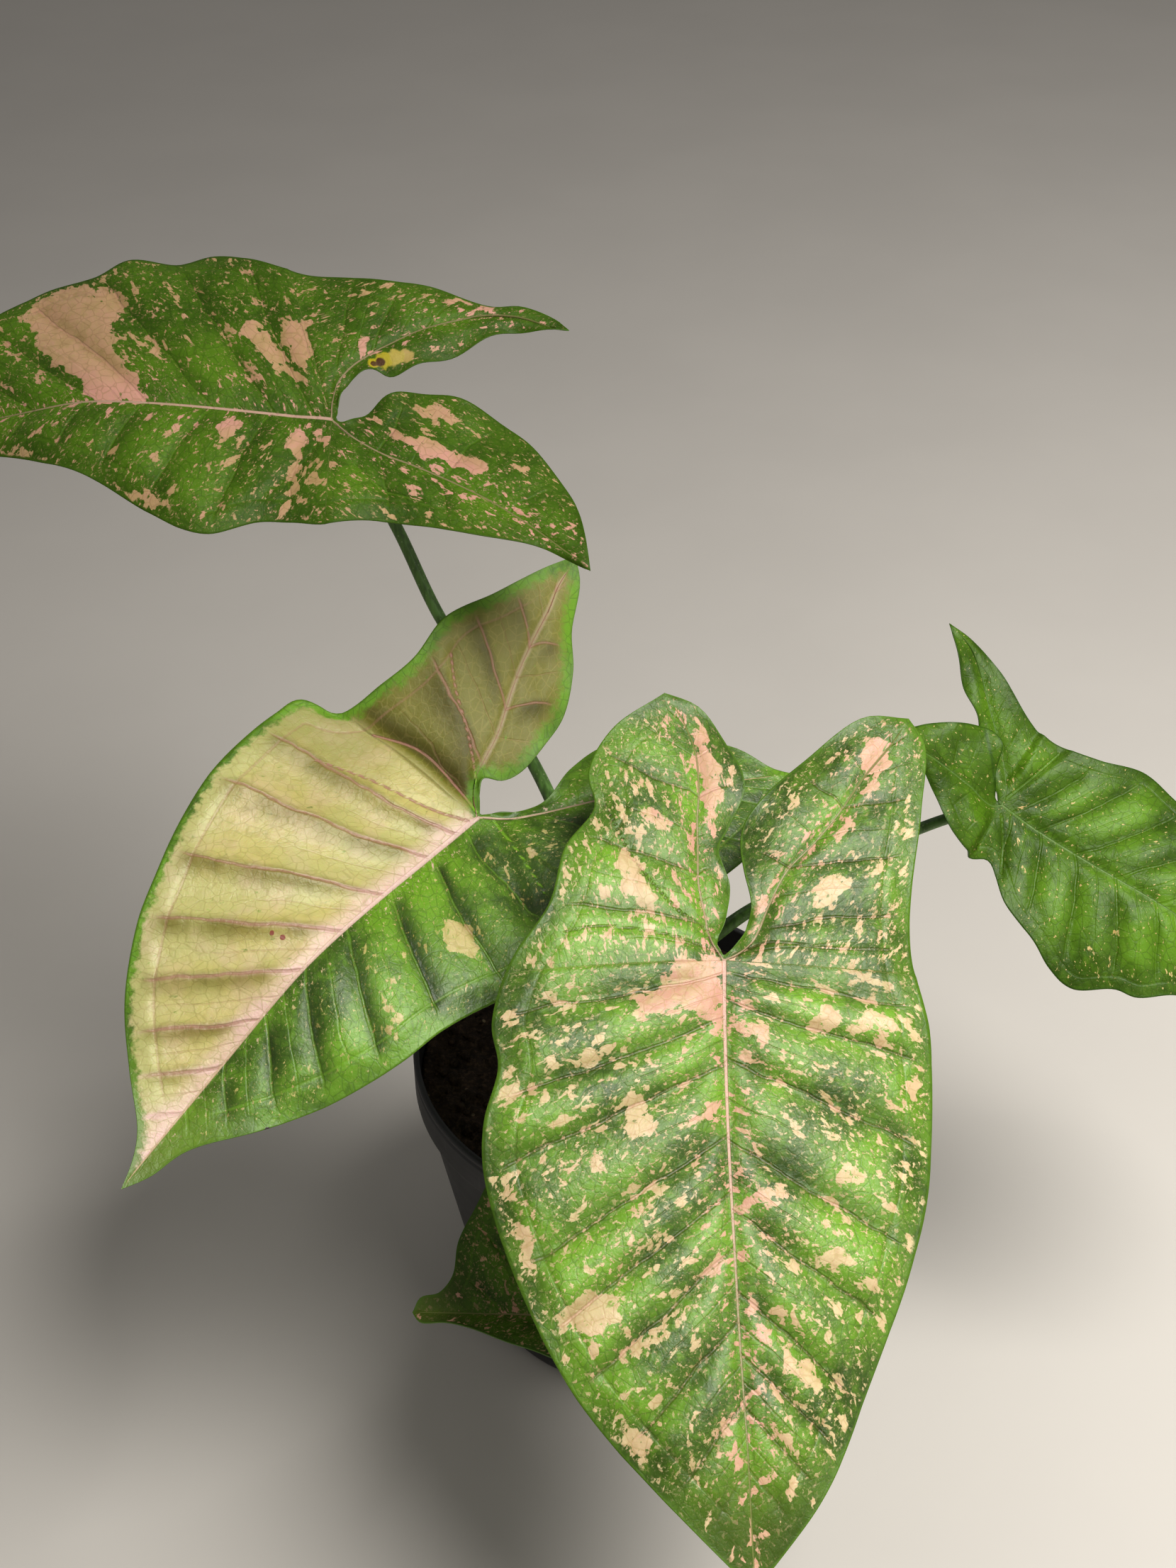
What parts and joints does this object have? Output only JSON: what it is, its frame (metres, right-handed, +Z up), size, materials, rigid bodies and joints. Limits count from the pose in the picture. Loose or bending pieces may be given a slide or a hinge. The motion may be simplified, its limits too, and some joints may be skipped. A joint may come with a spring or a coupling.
{
  "type": "potted syngonium",
  "caption": "Young variegated arrowhead vine: arrow-shaped leaves splashed cream and pink on long arching stalks, rising from a short stem in a small round nursery pot.",
  "frame": {"origin": "centre of the pot's base, on the surface it stands on", "axes": "+Z up along the pot's axis, the pictured front of the plant faces -Y"},
  "size_m": [0.3337, 0.2435, 0.259],
  "materials": {
    "pot_plastic": "satin black",
    "potting_soil": "matte, crumbly, damp",
    "stem_green": "satin",
    "stalk_green": "satin",
    "leaf_green": "satin green, splashed and speckled with cream and pink",
    "leaf_cream": "satin, cream half and speckled green half with pink veins"
  },
  "bodies": {
    "root": {"pot": "pot_plastic", "soil": "potting_soil", "stem": "stem_green", "stalk_front": "stalk_green", "stalk_left": "stalk_green", "stalk_back_left": "stalk_green", "stalk_right": "stalk_green", "stalk_low": "stalk_green", "leaf_front": "leaf_green", "leaf_left": "leaf_cream", "leaf_back_left": "leaf_green", "leaf_right": "leaf_green", "leaf_low": "leaf_green"}
  },
  "joints": []
}
